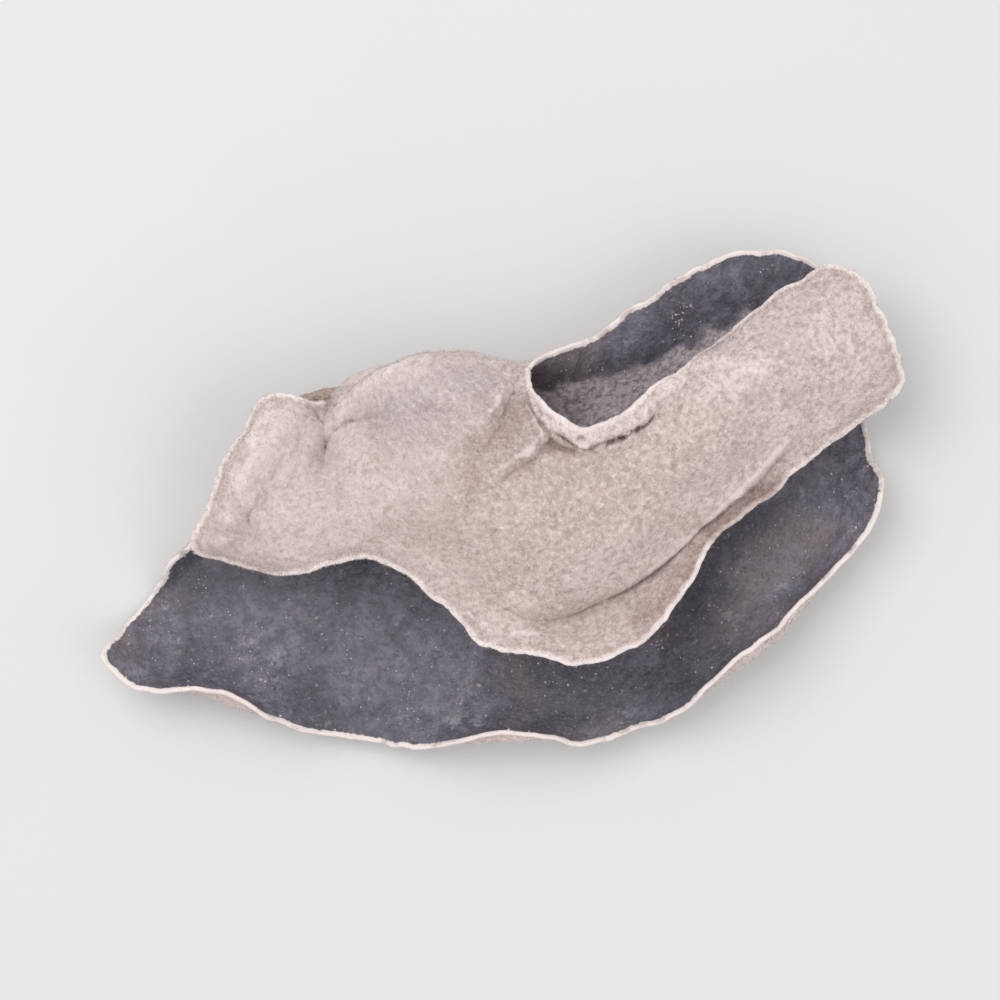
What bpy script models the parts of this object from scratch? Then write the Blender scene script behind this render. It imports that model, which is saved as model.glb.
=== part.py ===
"""A dried wood ear: a thin leathery fungus that grew as one lobed sheet and folded over itself as it dried.

Its outside is pale and felted, and its inside is black. It lies on its lower lobe. The upper lobe arches over that
one, and the two are a single sheet along the fold at the back left, where a small knob held it to the wood.
"""

import math

import bmesh
import bpy

MM = 0.001

# Driving sizes, in millimetres
SHEET_THICKNESS = 1.2
FLOOR_CLEARANCE = 0.55  # lowest height of the sheet's middle over the surface
PRESSED_FLAT = 0.25  # depth to which the underside is flattened where it lies on the surface
KNOB_SIZE = (3.4, 2.0, 2.3)
KNOB_PLACE = (-15.4, 8.0, 4.6)
RIPPLE_SIZE = 7.0
RIPPLE_HEIGHT = 1.1
SMOOTHING_LEVELS = 2
CREASE_SHARPNESS = 0.75
TUCK_SHARPNESS = 0.6

# The sheet is a lattice of lines that run from its left end to its right end. Points are (x, y, z), with x to the
# right, y towards the back and z up. The origin of the part lies under the middle of the fungus.
ORIGIN = (0.0, -1.9, PRESSED_FLAT)

# Upper lobe, from its front margin to its back edge
FRONT_MARGIN = [
    (-28.6, -6.2, 6.8), (-23.2, -8.6, 5.6), (-17.5, -8.6, 8.2), (-12.0, -6.4, 11.0), (-7.0, -9.0, 10.8),
    (-2.5, -14.2, 9.2), (3.0, -16.9, 8.8), (9.0, -17.2, 10.4), (14.6, -13.9, 10.2), (18.8, -8.2, 8.6),
    (23.2, -1.6, 6.8), (29.8, 3.2, 6.6), (36.8, 7.6, 8.6),
]
CREASE = [
    (-26.7, -2.2, 9.2), (-22.3, -4.6, 9.6), (-17.2, -5.2, 10.0), (-11.5, -4.4, 12.2), (-6.3, -6.2, 11.8),
    (-1.4, -10.6, 9.2), (3.4, -13.2, 6.8), (8.8, -12.2, 6.0), (13.8, -8.6, 5.6), (18.2, -4.8, 5.8),
    (22.6, 0.0, 6.2), (29.2, 5.4, 8.0), (37.2, 10.2, 9.2),
]
SHOULDER = [
    (-23.1, 4.9, 10.0), (-20.0, 4.6, 12.2), (-15.8, 2.2, 8.8), (-11.8, 5.0, 13.2), (-7.0, 7.4, 15.2),
    (-2.6, 7.6, 15.8), (1.6, 5.8, 14.8), (4.6, 2.0, 13.0), (8.6, 0.2, 11.6), (13.2, 1.8, 12.2),
    (18.4, 7.6, 13.4), (24.6, 13.2, 12.8), (33.0, 18.6, 10.4),
]
BACK_EDGE = [
    (-21.3, 8.2, 8.8), (-18.6, 7.6, 11.0), (-16.2, 7.0, 7.2), (-13.0, 9.8, 8.4), (-8.3, 11.6, 9.2),
    (-3.7, 12.0, 9.6), (1.3, 10.8, 10.2), (4.2, 5.8, 14.6), (7.8, 3.2, 14.4), (12.2, 5.2, 14.2),
    (17.2, 10.8, 9.4), (23.0, 15.0, 8.0), (30.0, 20.4, 8.0),
]
# Rise of the upper lobe's body over the straight line between crease and shoulder
CROWN = [0.8, 2.0, 1.4, 1.8, 2.8, 3.8, 4.4, 4.2, 3.8, 3.0, 2.4, 2.0, 0.8]

# Lower lobe, by column: its back margin where that is free, and its foot where it hangs from the fold
BACK_MARGIN = {
    0: (-30.2, -7.8, 5.8), 1: (-24.0, -0.6, 3.6), 7: (6.2, 11.8, 8.4), 8: (10.4, 14.0, 6.8),
    9: (15.2, 17.6, 7.8), 10: (20.6, 20.8, 6.0), 11: (26.6, 21.8, 5.0), 12: (32.4, 17.4, 5.2),
}
FOLD_FOOT = {
    2: (-17.0, 5.6, 2.6), 3: (-13.4, 9.8, 2.2), 4: (-8.0, 9.8, 2.6), 5: (-3.8, 12.2, 2.0), 6: (1.4, 9.2, 2.4),
}
# Lower lobe's front: the line along which it rolls up, and its margin
FRONT_ROLL = [
    (-35.6, -15.0, 3.4), (-31.2, -18.4, 1.6), (-26.6, -21.4, 4.8), (-19.2, -21.2, 1.6), (-12.9, -21.0, 0.8),
    (-6.2, -23.4, 1.4), (0.6, -25.4, 5.2), (7.0, -22.4, 1.6), (13.6, -20.6, 1.1), (20.0, -19.4, 3.6),
    (26.6, -15.2, 5.0), (30.2, -7.0, 1.5), (34.6, 0.6, 3.8),
]
LOWER_MARGIN = [
    (-37.6, -15.8, 6.6), (-32.4, -20.8, 3.8), (-25.4, -18.6, 8.8), (-19.8, -23.6, 3.6), (-12.9, -23.6, 1.9),
    (-6.4, -25.2, 3.6), (0.6, -22.4, 9.2), (7.6, -25.0, 4.2), (14.2, -22.8, 3.2), (20.2, -19.2, 7.8),
    (24.6, -13.0, 8.6), (32.6, -8.0, 3.6), (36.2, 0.6, 7.8),
]
COLUMNS = len(FRONT_MARGIN)
FOLD = range(2, 7)  # columns where both lobes are one folded sheet
CREASE_ROW = 1
CREASED = range(4, 11)  # columns from which the crease runs on to the next one
TUCK_COLUMN = 2
TUCK_ROWS = range(3, 5)  # rows that the short tuck beside the knob crosses, up to the back edge
BODY_SHARES = (0.27, 0.62)  # places of the body's lines between crease and shoulder
DISH_SHARES = (0.2, 0.48, 0.76)  # places of the lower lobe's lines between its back and its roll
DISH_HOLLOW = 0.55  # how far the lower lobe hangs below the straight lines from its middle to its edges


def between(a, b, share):
    """The point a share of the way from a to b."""
    return tuple(p + (q - p) * share for p, q in zip(a, b))


def body_point(i, share):
    """A point of the upper lobe's body, a share of the way from crease to shoulder."""
    x, y, z = between(CREASE[i], SHOULDER[i], share)
    return (x, y, z + CROWN[i] * math.sin(math.pi * share))


def dish_point(back, front, share):
    """A point of the lower lobe's floor, which rises from its middle towards both ends of its column."""
    x, y, _ = between(back, front, share)
    end = back if share < 0.5 else front
    climb = abs(2 * share - 1) ** 2 * DISH_HOLLOW
    return (x, y, FLOOR_CLEARANCE + (end[2] - FLOOR_CLEARANCE) * climb)


def upper_column(i):
    """Points of the upper lobe in column i, from its front margin to its back edge."""
    body = [body_point(i, share) for share in BODY_SHARES]
    return [FRONT_MARGIN[i], CREASE[i], *body, SHOULDER[i], BACK_EDGE[i]]


def lower_column(i):
    """Points of the lower lobe in column i, from its back margin or the fold to its front margin."""
    start = [BACK_EDGE[i], FOLD_FOOT[i]] if i in FOLD else [BACK_MARGIN[i]]
    shares = DISH_SHARES[1:] if i in FOLD else DISH_SHARES
    floor = [dish_point(start[-1], FRONT_ROLL[i], share) for share in shares]
    return [*start, *floor, FRONT_ROLL[i], LOWER_MARGIN[i]]


def sheet_lattice():
    """The folded sheet as a coarse mesh: two lobes that share their vertices along the fold."""
    sheet = bmesh.new()
    upper = [[sheet.verts.new(p) for p in upper_column(i)] for i in range(COLUMNS)]
    lower = []
    for i in range(COLUMNS):
        first, *rest = lower_column(i)
        start = upper[i][-1] if i in FOLD else sheet.verts.new(first)
        lower.append([start, *(sheet.verts.new(p) for p in rest)])
    for lobe in (upper, lower):
        for left, right in zip(lobe, lobe[1:]):
            for j in range(len(left) - 1):
                sheet.faces.new((left[j], right[j], right[j + 1], left[j + 1]))
    sharpness = sheet.edges.layers.float.new("crease_edge")
    for i in CREASED:
        sheet.edges.get((upper[i][CREASE_ROW], upper[i + 1][CREASE_ROW]))[sharpness] = CREASE_SHARPNESS
    for j in TUCK_ROWS:
        sheet.edges.get((upper[TUCK_COLUMN][j], upper[TUCK_COLUMN][j + 1]))[sharpness] = TUCK_SHARPNESS
    bmesh.ops.translate(sheet, vec=[-v for v in ORIGIN], verts=sheet.verts)
    bmesh.ops.scale(sheet, vec=(MM, MM, MM), verts=sheet.verts)
    return sheet


def finish(name, colour, roughness):
    material = bpy.data.materials.new(name)
    material.use_nodes = True
    shader = material.node_tree.nodes["Principled BSDF"]
    shader.inputs["Base Color"].default_value = (*colour, 1)
    shader.inputs["Roughness"].default_value = roughness
    return material


def ripple_texture():
    """A soft noise that makes the dried sheet uneven."""
    texture = bpy.data.textures.new("ripples", "CLOUDS")
    texture.noise_scale = RIPPLE_SIZE * MM
    texture.noise_depth = 1
    return texture


def wood_ear(collection):
    """The whole fungus: the folded sheet, given its thickness, with the knob and the pressed underside."""
    sheet = sheet_lattice()
    mesh = bpy.data.meshes.new("wood_ear")
    sheet.to_mesh(mesh)
    sheet.free()
    mesh.materials.append(finish("felted outside", (0.61, 0.51, 0.48), 0.9))
    mesh.materials.append(finish("black inside", (0.035, 0.032, 0.038), 0.5))
    ear = bpy.data.objects.new("wood_ear", mesh)
    collection.objects.link(ear)

    smooth = ear.modifiers.new("smooth", "SUBSURF")
    smooth.levels = smooth.render_levels = SMOOTHING_LEVELS
    ripples = ear.modifiers.new("ripples", "DISPLACE")
    ripples.texture = ripple_texture()
    ripples.strength = RIPPLE_HEIGHT * MM
    skin = ear.modifiers.new("thickness", "SOLIDIFY")
    skin.thickness = SHEET_THICKNESS * MM
    skin.offset = 0
    skin.material_offset = 1
    return ear


def knob(collection):
    """The stub by which the fungus was joined to the wood."""
    place = [(v - o) * MM for v, o in zip(KNOB_PLACE, ORIGIN)]
    bpy.ops.mesh.primitive_ico_sphere_add(subdivisions=2, radius=MM, location=place)
    lump = bpy.context.object
    lump.name = "knob"
    lump.scale = KNOB_SIZE
    return helper(lump, collection)


def surface_block(collection):
    """The space under the surface that the fungus lies on, which cuts its underside flat."""
    side, depth = 200 * MM, 20 * MM
    bpy.ops.mesh.primitive_cube_add(size=1, location=(0, 0, -depth / 2))
    block = bpy.context.object
    block.name = "surface"
    block.scale = (side, side, depth)
    return helper(block, collection)


def helper(obj, collection):
    """Makes obj a cutter or a guide, which isn't part of the model."""
    for owner in list(obj.users_collection):
        owner.objects.unlink(obj)
    collection.objects.link(obj)
    obj.hide_render = True
    obj.display_type = "WIRE"
    return obj


def combine(ear, other, operation):
    step = ear.modifiers.new(other.name, "BOOLEAN")
    step.operation = operation
    step.object = other


def main():
    for old in list(bpy.data.objects):
        bpy.data.objects.remove(old)
    model = bpy.data.collections.new("wood ear mushroom")
    helpers = bpy.data.collections.new("helpers")
    bpy.context.scene.collection.children.link(model)
    bpy.context.scene.collection.children.link(helpers)
    ear = wood_ear(model)
    combine(ear, knob(helpers), "UNION")
    combine(ear, surface_block(helpers), "DIFFERENCE")


main()
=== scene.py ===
"""A dried wood ear on a pale floor, seen from above: a thin sheet, pale felt outside and black skin inside.

The sheet follows the lattice of the CAD solid that it replaces, and gets its thin, frayed margins, ring
wrinkles, creases and felt here. Lengths are in millimetres until a mesh is made.
"""
import math

import bmesh
import bpy
import numpy as np
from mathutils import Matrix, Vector, kdtree, noise


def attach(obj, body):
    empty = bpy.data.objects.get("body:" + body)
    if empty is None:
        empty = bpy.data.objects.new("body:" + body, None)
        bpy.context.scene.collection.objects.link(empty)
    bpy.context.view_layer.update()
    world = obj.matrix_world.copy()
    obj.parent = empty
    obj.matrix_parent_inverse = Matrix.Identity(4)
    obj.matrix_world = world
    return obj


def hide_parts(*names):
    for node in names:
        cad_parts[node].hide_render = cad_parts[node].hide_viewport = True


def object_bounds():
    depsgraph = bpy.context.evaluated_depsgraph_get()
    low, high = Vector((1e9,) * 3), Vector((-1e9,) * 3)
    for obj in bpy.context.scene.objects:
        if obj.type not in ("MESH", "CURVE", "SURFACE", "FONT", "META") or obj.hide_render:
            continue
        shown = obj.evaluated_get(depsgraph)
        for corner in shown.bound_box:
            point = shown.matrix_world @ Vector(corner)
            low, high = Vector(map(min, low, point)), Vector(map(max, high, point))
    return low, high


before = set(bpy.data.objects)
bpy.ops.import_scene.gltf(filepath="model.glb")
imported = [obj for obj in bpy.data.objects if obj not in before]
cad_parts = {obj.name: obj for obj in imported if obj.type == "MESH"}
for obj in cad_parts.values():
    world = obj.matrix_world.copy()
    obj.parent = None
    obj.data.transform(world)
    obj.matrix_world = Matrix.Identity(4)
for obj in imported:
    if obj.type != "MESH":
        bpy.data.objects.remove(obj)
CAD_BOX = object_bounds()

MM = 0.001
NODE = "wood_ear"
BODY = "root"

# ---- The lattice of the CAD solid

FLOOR_CLEARANCE = 0.55
PRESSED_FLAT = 0.25
KNOB_SIZE = (3.4, 2.0, 2.3)
KNOB_PLACE = (-15.4, 8.0, 4.6)
RIPPLE_SIZE = 7.0
RIPPLE_HEIGHT = 1.1
CREASE_SHARPNESS = 0.75
TUCK_SHARPNESS = 0.6
ORIGIN = (0.0, -1.9, PRESSED_FLAT)
FRONT_MARGIN = [
    (-28.6, -6.2, 6.8), (-23.2, -8.6, 5.6), (-17.5, -8.6, 8.2), (-12.0, -6.4, 11.0), (-7.0, -9.0, 10.8),
    (-2.5, -14.2, 9.2), (3.0, -16.9, 8.8), (9.0, -17.2, 10.4), (14.6, -13.9, 10.2), (18.8, -8.2, 8.6),
    (23.2, -1.6, 6.8), (29.8, 3.2, 6.6), (36.8, 7.6, 8.6),
]
CREASE = [
    (-26.7, -2.2, 9.2), (-22.3, -4.6, 9.6), (-17.2, -5.2, 10.0), (-11.5, -4.4, 12.2), (-6.3, -6.2, 11.8),
    (-1.4, -10.6, 9.2), (3.4, -13.2, 6.8), (8.8, -12.2, 6.0), (13.8, -8.6, 5.6), (18.2, -4.8, 5.8),
    (22.6, 0.0, 6.2), (29.2, 5.4, 8.0), (37.2, 10.2, 9.2),
]
SHOULDER = [
    (-23.1, 4.9, 10.0), (-20.0, 4.6, 12.2), (-15.8, 2.2, 8.8), (-11.8, 5.0, 13.2), (-7.0, 7.4, 15.2),
    (-2.6, 7.6, 15.8), (1.6, 5.8, 14.8), (4.6, 2.0, 13.0), (8.6, 0.2, 11.6), (13.2, 1.8, 12.2),
    (18.4, 7.6, 13.4), (24.6, 13.2, 12.8), (33.0, 18.6, 10.4),
]
BACK_EDGE = [
    (-21.3, 8.2, 8.8), (-18.6, 7.6, 11.0), (-16.2, 7.0, 7.2), (-13.0, 9.8, 8.4), (-8.3, 11.6, 9.2),
    (-3.7, 12.0, 9.6), (1.3, 10.8, 10.2), (4.2, 5.8, 14.6), (7.8, 3.2, 14.4), (12.2, 5.2, 14.2),
    (17.2, 10.8, 9.4), (23.0, 15.0, 8.0), (30.0, 20.4, 8.0),
]
CROWN = [0.8, 2.0, 1.4, 1.8, 2.8, 3.8, 4.4, 4.2, 3.8, 3.0, 2.4, 2.0, 0.8]
BACK_MARGIN = {
    0: (-30.2, -7.8, 5.8), 1: (-24.0, -0.6, 3.6), 7: (6.2, 11.8, 8.4), 8: (10.4, 14.0, 6.8),
    9: (15.2, 17.6, 7.8), 10: (20.6, 20.8, 6.0), 11: (26.6, 21.8, 5.0), 12: (32.4, 17.4, 5.2),
}
FOLD_FOOT = {
    2: (-17.0, 5.6, 2.6), 3: (-13.4, 9.8, 2.2), 4: (-8.0, 9.8, 2.6), 5: (-3.8, 12.2, 2.0), 6: (1.4, 9.2, 2.4),
}
FRONT_ROLL = [
    (-35.6, -15.0, 3.4), (-31.2, -18.4, 1.6), (-26.6, -21.4, 4.8), (-19.2, -21.2, 1.6), (-12.9, -21.0, 0.8),
    (-6.2, -23.4, 1.4), (0.6, -25.4, 5.2), (7.0, -22.4, 1.6), (13.6, -20.6, 1.1), (20.0, -19.4, 3.6),
    (26.6, -15.2, 5.0), (30.2, -7.0, 1.5), (34.6, 0.6, 3.8),
]
LOWER_MARGIN = [
    (-37.6, -15.8, 6.6), (-32.4, -20.8, 3.8), (-25.4, -18.6, 8.8), (-19.8, -23.6, 3.6), (-12.9, -23.6, 1.9),
    (-6.4, -25.2, 3.6), (0.6, -22.4, 9.2), (7.6, -25.0, 4.2), (14.2, -22.8, 3.2), (20.2, -19.2, 7.8),
    (24.6, -13.0, 8.6), (32.6, -8.0, 3.6), (36.2, 0.6, 7.8),
]
COLUMNS = len(FRONT_MARGIN)
ROWS = 5
FOLD = range(2, 7)
CREASE_ROW = 1
CREASED = range(4, 11)
TUCK_COLUMN = 2
TUCK_ROWS = range(3, 5)
BODY_SHARES = (0.27, 0.62)
DISH_SHARES = (0.2, 0.48, 0.76)
DISH_HOLLOW = 0.55


def between(a, b, share):
    return tuple(p + (q - p) * share for p, q in zip(a, b))


def body_point(i, share):
    x, y, z = between(CREASE[i], SHOULDER[i], share)
    return (x, y, z + CROWN[i] * math.sin(math.pi * share))


def dish_point(back, front, share):
    x, y, _ = between(back, front, share)
    end = back if share < 0.5 else front
    climb = abs(2 * share - 1) ** 2 * DISH_HOLLOW
    return (x, y, FLOOR_CLEARANCE + (end[2] - FLOOR_CLEARANCE) * climb)


def upper_column(i):
    body = [body_point(i, share) for share in BODY_SHARES]
    return [FRONT_MARGIN[i], CREASE[i], *body, SHOULDER[i], BACK_EDGE[i]]


def lower_column(i):
    start = [BACK_EDGE[i], FOLD_FOOT[i]] if i in FOLD else [BACK_MARGIN[i]]
    shares = DISH_SHARES[1:] if i in FOLD else DISH_SHARES
    floor = [dish_point(start[-1], FRONT_ROLL[i], share) for share in shares]
    return [*start, *floor, FRONT_ROLL[i], LOWER_MARGIN[i]]


# ---- The middle of the sheet, as two regular grids

LEVEL = 4
STEPS = 2 ** LEVEL  # grid steps in each cell of the lattice
FINE = 2  # times as many steps, each way, on the felted side of the upper lobe
COARSE = 2  # times fewer steps, each way, on the black side
LOWER_START = 10  # the lower lobe's first row in the map of places


def steps_of(grid):
    return (len(grid) - 1) // (COLUMNS - 1)


def seam(grid):
    """The columns of a grid where the two lobes are one sheet."""
    return slice(FOLD[0] * steps_of(grid), FOLD[-1] * steps_of(grid) + 1)


def cage():
    """The lattice as a mesh whose map of places holds each corner's column and row."""
    sheet = bmesh.new()
    place = sheet.loops.layers.uv.new("place")
    upper = [[sheet.verts.new(p) for p in upper_column(i)] for i in range(COLUMNS)]
    lower = []
    for i in range(COLUMNS):
        first, *rest = lower_column(i)
        start = upper[i][-1] if i in FOLD else sheet.verts.new(first)
        lower.append([start, *(sheet.verts.new(p) for p in rest)])
    for lobe, start_row in ((upper, 0), (lower, LOWER_START)):
        for i in range(COLUMNS - 1):
            for j in range(ROWS):
                corners = ((i, j), (i + 1, j), (i + 1, j + 1), (i, j + 1))
                face = sheet.faces.new([lobe[a][b] for a, b in corners])
                for loop, (a, b) in zip(face.loops, corners):
                    loop[place].uv = (a, start_row + b)
    sharpness = sheet.edges.layers.float.new("crease_edge")
    for i in CREASED:
        sheet.edges.get((upper[i][CREASE_ROW], upper[i + 1][CREASE_ROW]))[sharpness] = CREASE_SHARPNESS
    for j in TUCK_ROWS:
        sheet.edges.get((upper[TUCK_COLUMN][j], upper[TUCK_COLUMN][j + 1]))[sharpness] = TUCK_SHARPNESS
    bmesh.ops.translate(sheet, vec=[-v for v in ORIGIN], verts=sheet.verts)
    bmesh.ops.scale(sheet, vec=(MM, MM, MM), verts=sheet.verts)
    mesh = bpy.data.meshes.new("cage")
    sheet.to_mesh(mesh)
    sheet.free()
    return mesh


def add(name, data):
    obj = bpy.data.objects.new(name, data)
    bpy.context.scene.collection.objects.link(obj)
    return obj


def read_all(items, key, width, kind=float):
    """A property of a mesh's items, as an array with a row for each."""
    values = np.empty(len(items) * width, kind)
    items.foreach_get(key, values)
    return values.reshape(-1, width)


def smooth_lobes():
    """The middle of both lobes, smoothed and rippled as the CAD solid is."""
    obj = add("cage", cage())
    smooth = obj.modifiers.new("smooth", "SUBSURF")
    smooth.levels = smooth.render_levels = LEVEL
    smooth.uv_smooth = "NONE"
    texture = bpy.data.textures.new("ripples", "CLOUDS")
    texture.noise_scale = RIPPLE_SIZE * MM
    texture.noise_depth = 1
    ripples = obj.modifiers.new("ripples", "DISPLACE")
    ripples.texture = texture
    ripples.strength = RIPPLE_HEIGHT * MM
    shaped = obj.evaluated_get(bpy.context.evaluated_depsgraph_get())
    mesh = shaped.to_mesh()
    points = read_all(mesh.vertices, "co", 3) / MM
    corner = read_all(mesh.loops, "vertex_index", 1, int)[:, 0]
    place = read_all(mesh.uv_layers["place"].data, "uv", 2)
    lobes = []
    for start_row in (0, LOWER_START):
        row = (place[:, 1] - start_row) * STEPS
        mine = (row > -0.5) & (row < ROWS * STEPS + 0.5)
        grid = np.zeros(((COLUMNS - 1) * STEPS + 1, ROWS * STEPS + 1), int)
        grid[np.rint(place[mine, 0] * STEPS).astype(int), np.rint(row[mine]).astype(int)] = corner[mine]
        lobes.append(points[grid])
    shaped.to_mesh_clear()
    bpy.data.objects.remove(obj)
    return lobes


def length_along(points, axis):
    """Distance of each grid point from the start of its row (axis 0) or column (axis 1), along it."""
    steps = np.linalg.norm(np.diff(points, axis=axis), axis=-1)
    return np.cumsum(np.insert(steps, 0, 0, axis), axis)


def lumps(points, size, seed, octaves=2):
    """Smooth noise from about -1 to 1 at each point, with lumps of about the given size."""
    shift = Vector((7.3, 3.1, 5.7)) * seed
    flat = (points / size).reshape(-1, 3)
    values = [noise.fractal(Vector(p) + shift, 1.0, 2.0, octaves) for p in flat]
    return np.array(values).reshape(points.shape[:-1])


def fade(value, low, high):
    """0 below low, 1 above high, and smooth between."""
    t = np.clip((value - low) / (high - low), 0, 1)
    return t * t * (3 - 2 * t)


def span(column, ends):
    """1 between two columns and 0 outside, with soft ends."""
    return fade(column, ends[0] - 0.5, ends[0] + 0.5) * (1 - fade(column, ends[1] - 0.5, ends[1] + 0.5))


def bell(gap, width):
    """1 where the gap is 0, and nearly 0 from twice the width on."""
    return np.exp(-(gap / width) ** 2)


def blend(ends, share):
    return ends[0] + (ends[1] - ends[0]) * share


def unit(vectors):
    return vectors / np.maximum(np.linalg.norm(vectors, axis=-1, keepdims=True), 1e-9)


def meet(upper, lower):
    """Gives both grids their mean values along the fold."""
    fold = seam(upper)
    upper[fold, -1] = lower[fold, 0] = (upper[fold, -1] + lower[fold, 0]) / 2


def grid_normals(upper, lower):
    """Normals of both grids, on the felted side, and the same for both along the fold."""
    normals = [unit(np.cross(*np.gradient(points, axis=(0, 1)))) for points in (upper, lower)]
    meet(*normals)
    return [unit(normal) for normal in normals]


def free_margin(points, fold_row):
    """The grid's boundary points, but for those of one row that are in the fold, and which way is out."""
    held = np.ones(points.shape[:2], bool)
    held[1:-1, 1:-1] = False
    fold = seam(points)
    held[fold.start + 1:fold.stop - 1, fold_row] = False
    outward = np.zeros_like(points)
    outward[:, 0] += points[:, 0] - points[:, 3]
    outward[:, -1] += points[:, -1] - points[:, -4]
    outward[0] += points[0] - points[3]
    outward[-1] += points[-1] - points[-4]
    return points[held], unit(outward[held])


def nearest(points, targets):
    """For each point, its distance to the nearest target and that target's number."""
    tree = kdtree.KDTree(len(targets))
    for i, p in enumerate(targets):
        tree.insert(p, i)
    tree.balance()
    _, number, distance = zip(*(tree.find(p) for p in points.reshape(-1, 3)))
    return np.reshape(distance, points.shape[:-1]), np.reshape(number, points.shape[:-1])


# ---- Shape of the thin parts

HALF_SHEET = 0.6
HALF_MARGIN = 0.19
MARGIN_WIDTH = 2.2  # how far in from the margin the sheet is thinner
HEM_WIDTH = 0.22
HEM_GROOVE = 0.6
HEM_HEIGHT = 0.06
HEM_DEPTH = 0.07
FRILL_HEIGHT = 0.42
FRILL_SIZE = 3.4
FRILL_REACH = 2.6
FRAY = 0.34  # how far the outline wanders in and out
FRAY_SIZE = 3.0
FRAY_REACH = 1.1
# The bay's front edge, which is turned out, from above
LIP_COURSE = [(4.2, 5.8), (6.0, 3.9), (7.8, 3.2), (12.2, 5.2), (14.5, 7.6)]
LIP_OVERHANG = 1.0
LIP_BLEND = 1.6
LIP_FLOOR = 9.0  # the lip is above this height and the lower lobe's edge below it
# Places where the upper lobe is a little off the lattice: shift, middle and reach, from above
NUDGES = [
    ((-0.3, 1.1), (19.4, -5.6), (3.0, 2.6)),
    ((0.3, -0.7), (24.4, -0.2), (2.2, 2.2)),
    ((-0.1, -0.75), (-1.9, -14.4), (1.7, 1.5)),
    ((0.0, 0.5), (3.6, -16.6), (2.2, 1.6)),
    ((0.0, 0.5), (8.8, -11.6), (3.4, 1.8)),
    ((-0.9, -0.6), (-27.8, -5.6), (1.8, 1.8)),
]
PLEATS = 9  # radiating folds round the knob
PLEAT_HEIGHT = 0.3
PLEAT_PLACE = 3.0  # distance from the knob's middle at which they are highest
PLEAT_REACH = 2.6
PLEAT_WANDER = 0.6
RING_GAP = 1.15  # distance from one ring wrinkle to the next, or so
RING_STRETCH = 6.0
RING_SHARPNESS = 0.2
RING_DEPTH = 0.045
RING_ENDS = 1.15  # how much closer together the rings are at the ends of the sheet
RING_CORNER = 3.0  # roundness of the rings' corners
RING_WARPS = ((1.5, 7.0, 5), (0.4, 2.2, 6))  # height, size and seed
STREAK_SIZE = 0.55
STREAK_STRETCH = 5.0
STREAK_HEIGHT = 0.05
PEBBLE_SIZE = 0.55
PEBBLE_HEIGHT = 0.045
UNEVEN_SIZE = 2.4
UNEVENNESS = 0.1
VEIN_SIZE = 3.4
VEIN_HEIGHT = 0.09
DENT_DEPTH = 0.08
KNOB = np.subtract(KNOB_PLACE, ORIGIN)


def fray_and_frill(points, normals, fold_row):
    """Waves the sheet near its margin and lets the outline wander."""
    margin, outward = free_margin(points, fold_row)
    distance, number = nearest(points, margin)
    wave = (lumps(margin, FRILL_SIZE, 1) * FRILL_HEIGHT)[number] * np.exp(-distance / FRILL_REACH)
    lip = bell(to_polyline(margin, LIP_COURSE), LIP_BLEND) * (margin[:, 2] > LIP_FLOOR)
    spread = lumps(margin, FRAY_SIZE, 2, 4) * FRAY + lip * LIP_OVERHANG
    spread = spread[number] * np.exp(-distance / FRAY_REACH)
    return points + normals * wave[..., None] + outward[number] * spread[..., None]


def nudged(points):
    """The upper lobe's points, moved where the photographed ear is off the lattice."""
    moved = points.copy()
    for shift, middle, reach in NUDGES:
        moved[..., :2] += patch(points, middle, reach)[..., None] * shift
    return moved


def upper_places(points):
    """Each point's column, and how far it is over the crease and from the back edge or the fold."""
    inward = length_along(points, 1)
    column = np.linspace(0, COLUMNS - 1, len(points))[:, None]
    return column, inward - inward[:, [CREASE_ROW * steps_of(points)]], inward[:, -1:] - inward


def folds(points, normals):
    """Broad folds of the upper lobe, and the body's roll over the crease."""
    column, over, from_back = upper_places(points)
    height = ridges(points, FOLDS) * fold_fade(from_back)
    outward = points[:, :1] - points[:, [CREASE_ROW * steps_of(points)]]
    outward[..., 2] = 0
    roll = blend(ROLL, fade(column, *CREASE_GROWS))
    roll = roll * bell(over - ROLL_PLACE, ROLL_BLEND) * span(column, CREASE_SPAN)
    return points + normals * height[..., None] + unit(outward) * roll[..., None]


def pleats(points, normals):
    """Folds that radiate from the knob."""
    away = points - KNOB
    reach = np.linalg.norm(away, axis=-1)
    angle = np.arctan2(away[..., 2], away[..., 0]) + PLEAT_WANDER * lumps(points, 6.0, 3)
    height = np.cos(angle * PLEATS) * PLEAT_HEIGHT * bell(reach - PLEAT_PLACE, PLEAT_REACH)
    return points + normals * height[..., None]


def refine_columns(values):
    """Twice as many columns, each new one on a cubic curve through the four nearest."""
    before = 2 * values[:1] - values[1:2]
    after = 2 * values[-1:] - values[-2:-1]
    padded = np.concatenate([before, values, after])
    halfway = (9 * (values[:-1] + values[1:]) - padded[:-3] - padded[3:]) / 16
    return np.insert(values, range(1, len(values)), halfway, 0)


def refine(values):
    """FINE times as many columns and rows."""
    return refine_columns(refine_columns(values).swapaxes(0, 1)).swapaxes(0, 1)


def charts(points, fold_row):
    """Each point's distance from the margin, and its places across the rings and along them."""
    margin, _ = nearest(points, free_margin(points, fold_row)[0])
    inward = length_along(points, 1)
    if fold_row == 0:
        inward = inward[:, -1:] - inward
    along = length_along(points, 0)
    ends = np.minimum(along, along[-1:] - along) * RING_ENDS
    inward = -RING_CORNER * np.log(np.exp(-inward / RING_CORNER) + np.exp(-ends / RING_CORNER))
    warp = sum(height * lumps(points, size, seed) for height, size, seed in RING_WARPS)
    return margin, inward + warp, along


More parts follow.
